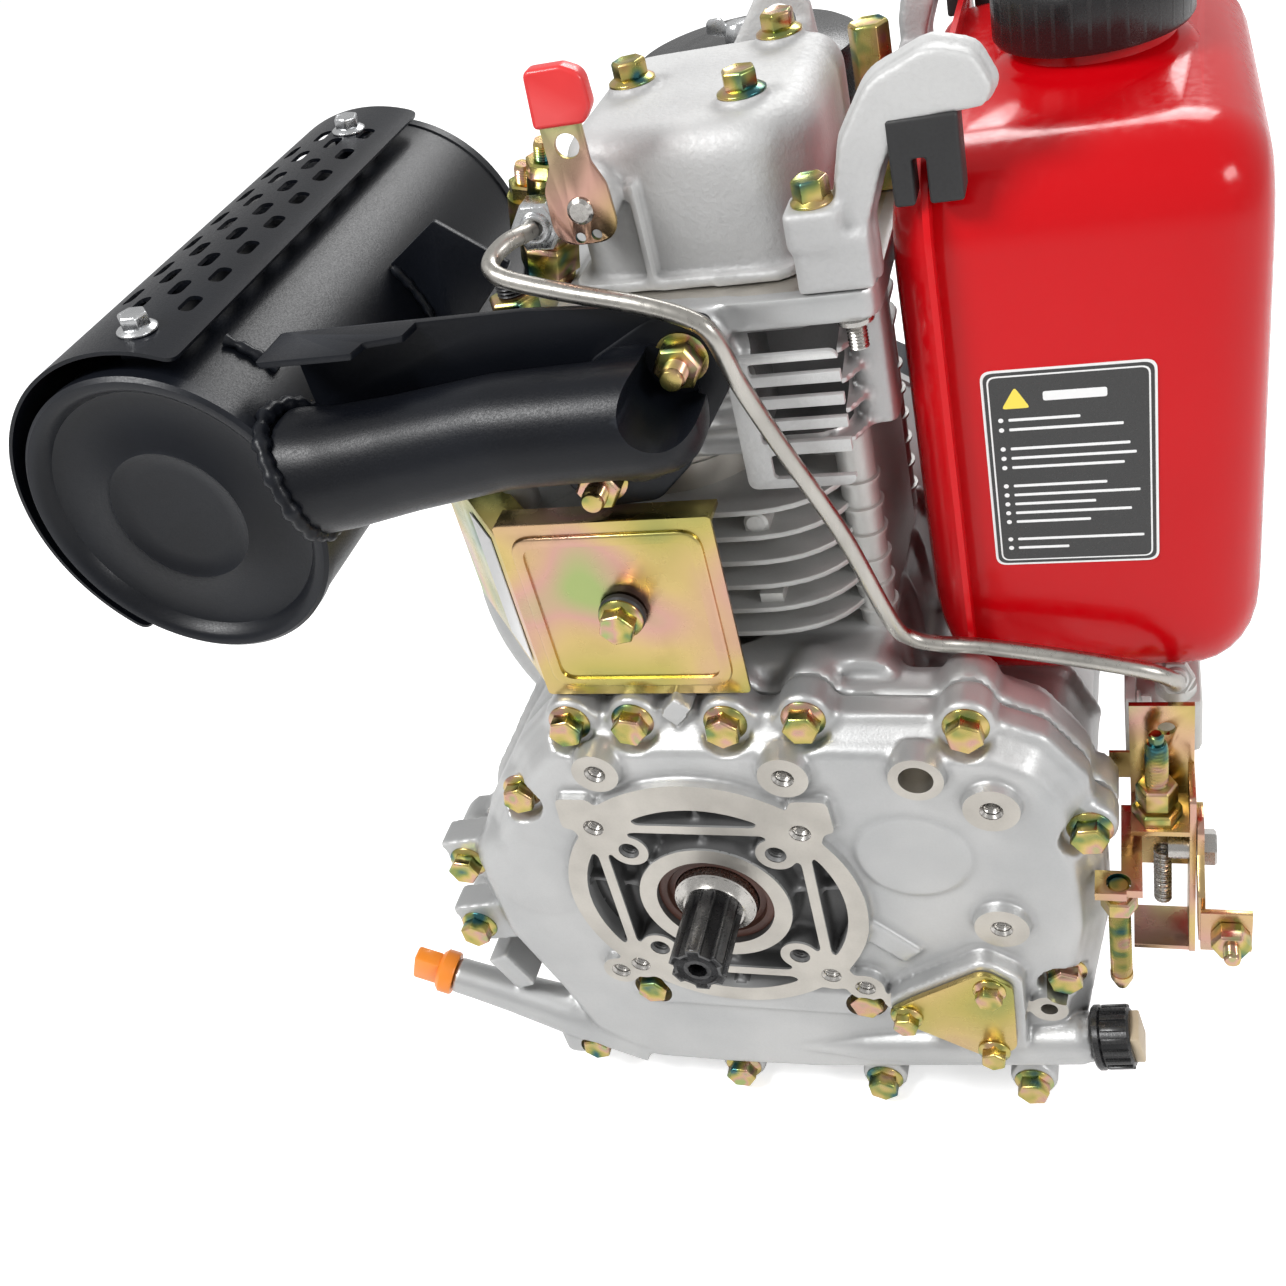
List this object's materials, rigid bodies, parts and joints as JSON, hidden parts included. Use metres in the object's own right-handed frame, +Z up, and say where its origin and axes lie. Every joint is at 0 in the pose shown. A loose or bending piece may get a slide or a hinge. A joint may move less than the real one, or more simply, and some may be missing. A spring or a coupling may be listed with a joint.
{
  "type": "single-cylinder diesel engine",
  "caption": "Air-cooled single-cylinder diesel engine with a splined output shaft on a machined bolt face, side silencer, side fuel tank and recoil starter.",
  "frame": {"origin": "centre of the bounding box on the plane of the base's feet", "axes": "+Z up; the output shaft points along -Y, the flywheel and starter are at +Y, the fuel tank at +X and the silencer at -X"},
  "size_m": [0.4604, 0.398, 0.496],
  "materials": {
    "cast_alloy": "cast, shot-blasted",
    "cast_iron": "sand cast",
    "machined_steel": "machined",
    "black_steel": "satin black",
    "zinc_yellow": "yellow zinc plated",
    "zinc_silver": "bright zinc plated",
    "tank_red": "gloss",
    "grip_red": "dipped plastic",
    "rubber_black": "matt",
    "plastic_black": "moulded",
    "plastic_orange": "moulded",
    "seal_brown": "matt"
  },
  "bodies": {
    "engine": {"air_cleaner_base": "plastic_black", "air_deflector": "zinc_yellow", "blower_housing": "cast_alloy", "connecting_rod": "machined_steel", "control_bracket": "zinc_yellow", "crankcase": "cast_alloy", "crankcase_cover": "cast_alloy", "cylinder_barrel": "cast_iron", "cylinder_head": "cast_alloy", "exhaust_pipe": "black_steel", "exhaust_pushrod": "machined_steel", "exhaust_rocker": "machined_steel", "exhaust_valve": "machined_steel", "fuel_cock": "zinc_yellow", "fuel_hose": "rubber_black", "fuel_limiter": "zinc_yellow", "fuel_tank": "tank_red", "head_nut": "zinc_yellow", "high_pressure_pipe": "machined_steel", "injection_pump": "cast_iron", "injector": "zinc_yellow", "intake_elbow": "cast_alloy", "intake_pushrod": "machined_steel", "intake_rocker": "machined_steel", "intake_valve": "machined_steel", "lifting_eye": "cast_alloy", "muffler": "black_steel", "muffler_guard": "black_steel", "muffler_stay": "black_steel", "oil_pump_cover": "zinc_yellow", "oil_seal": "seal_brown", "pipe_nut": "zinc_silver", "piston": "cast_alloy", "piston_pin": "machined_steel", "rocker_cover": "cast_alloy", "rocker_shaft": "machined_steel", "starter_housing": "black_steel", "tank_bracket_front": "cast_alloy", "tank_bracket_rear": "cast_alloy", "tank_buffer_front": "rubber_black", "tank_buffer_rear": "rubber_black"},
    "crank": {"crankshaft": "black_steel", "rod_big_end": "machined_steel", "flywheel": "cast_alloy", "starter_cup": "machined_steel"},
    "cam": {"camshaft": "machined_steel"},
    "balancer": {"balance_shaft": "machined_steel"},
    "decompression": {"decompression_lever": "zinc_yellow", "decompression_grip": "grip_red"},
    "speed_control": {"speed_lever": "zinc_yellow", "cable_clamp": "zinc_yellow"},
    "fuel_tap": {"fuel_cock_lever": "grip_red"},
    "tank_cap": {"fuel_cap": "plastic_black"},
    "dipstick": {"oil_dipstick": "plastic_orange"},
    "oil_plug": {"oil_filler_plug": "plastic_black"},
    "starter_pull": {"starter_handle": "plastic_black", "starter_rope": "plastic_black"},
    "air_lid": {"air_cleaner_lid": "plastic_black"},
    "lid_nut": {"wing_nut": "zinc_silver"},
    "idle_stop": {"idle_screw": "zinc_yellow"}
  },
  "joints": [
    {"name": "crank_turn", "type": "hinge", "parent": "engine", "child": "crank", "pos_m": [0.01024, -0.163, 0.152], "axis": [0, 1, 0], "continuous": true},
    {"name": "cam_turn", "type": "hinge", "parent": "engine", "child": "cam", "pos_m": [0.09724, -0.163, 0.177], "axis": [0, 1, 0], "continuous": true},
    {"name": "balancer_turn", "type": "hinge", "parent": "engine", "child": "balancer", "pos_m": [-0.06776, -0.163, 0.152], "axis": [0, 1, 0], "continuous": true},
    {"name": "decompression_turn", "type": "hinge", "parent": "engine", "child": "decompression", "pos_m": [0.01224, -0.113, 0.448], "axis": [0, 1, 0], "range_deg": [0, 70]},
    {"name": "speed_lever_turn", "type": "hinge", "parent": "engine", "child": "speed_control", "pos_m": [0.20664, -0.127, 0.158], "axis": [1, 0, 0], "range_deg": [-20, 40]},
    {"name": "fuel_tap_turn", "type": "hinge", "parent": "engine", "child": "fuel_tap", "pos_m": [0.20824, 0.052, 0.211], "axis": [1, 0, 0], "range_deg": [0, 90]},
    {"name": "tank_cap_lift", "type": "slide", "parent": "engine", "child": "tank_cap", "axis": [0, 0, 1], "range_m": [0, 0.04]},
    {"name": "dipstick_pull", "type": "slide", "parent": "engine", "child": "dipstick", "axis": [-0.9244, 0, 0.3815], "range_m": [0, 0.06]},
    {"name": "oil_plug_pull", "type": "slide", "parent": "engine", "child": "oil_plug", "axis": [0.9847, 0, 0.1745], "range_m": [0, 0.03]},
    {"name": "starter_slide", "type": "slide", "parent": "engine", "child": "starter_pull", "axis": [-1, 0, 0], "range_m": [0, 0.12], "stiffness_N_per_m": 20, "springref_m": -0.05},
    {"name": "air_lid_lift", "type": "slide", "parent": "engine", "child": "air_lid", "axis": [0, 0, 1], "range_m": [0, 0.03]},
    {"name": "wing_nut_turn", "type": "hinge", "parent": "air_lid", "child": "lid_nut", "pos_m": [0.03024, 0.067, 0.444], "axis": [0, 0, 1], "continuous": true},
    {"name": "idle_screw_turn", "type": "hinge", "parent": "engine", "child": "idle_stop", "pos_m": [0.17724, -0.1548, 0.162], "axis": [0, 0, 1], "continuous": true}
  ],
  "couplings": [
    {"joint": "cam_turn", "follows": "crank_turn", "ratio": -0.5},
    {"joint": "balancer_turn", "follows": "crank_turn", "ratio": -1}
  ]
}
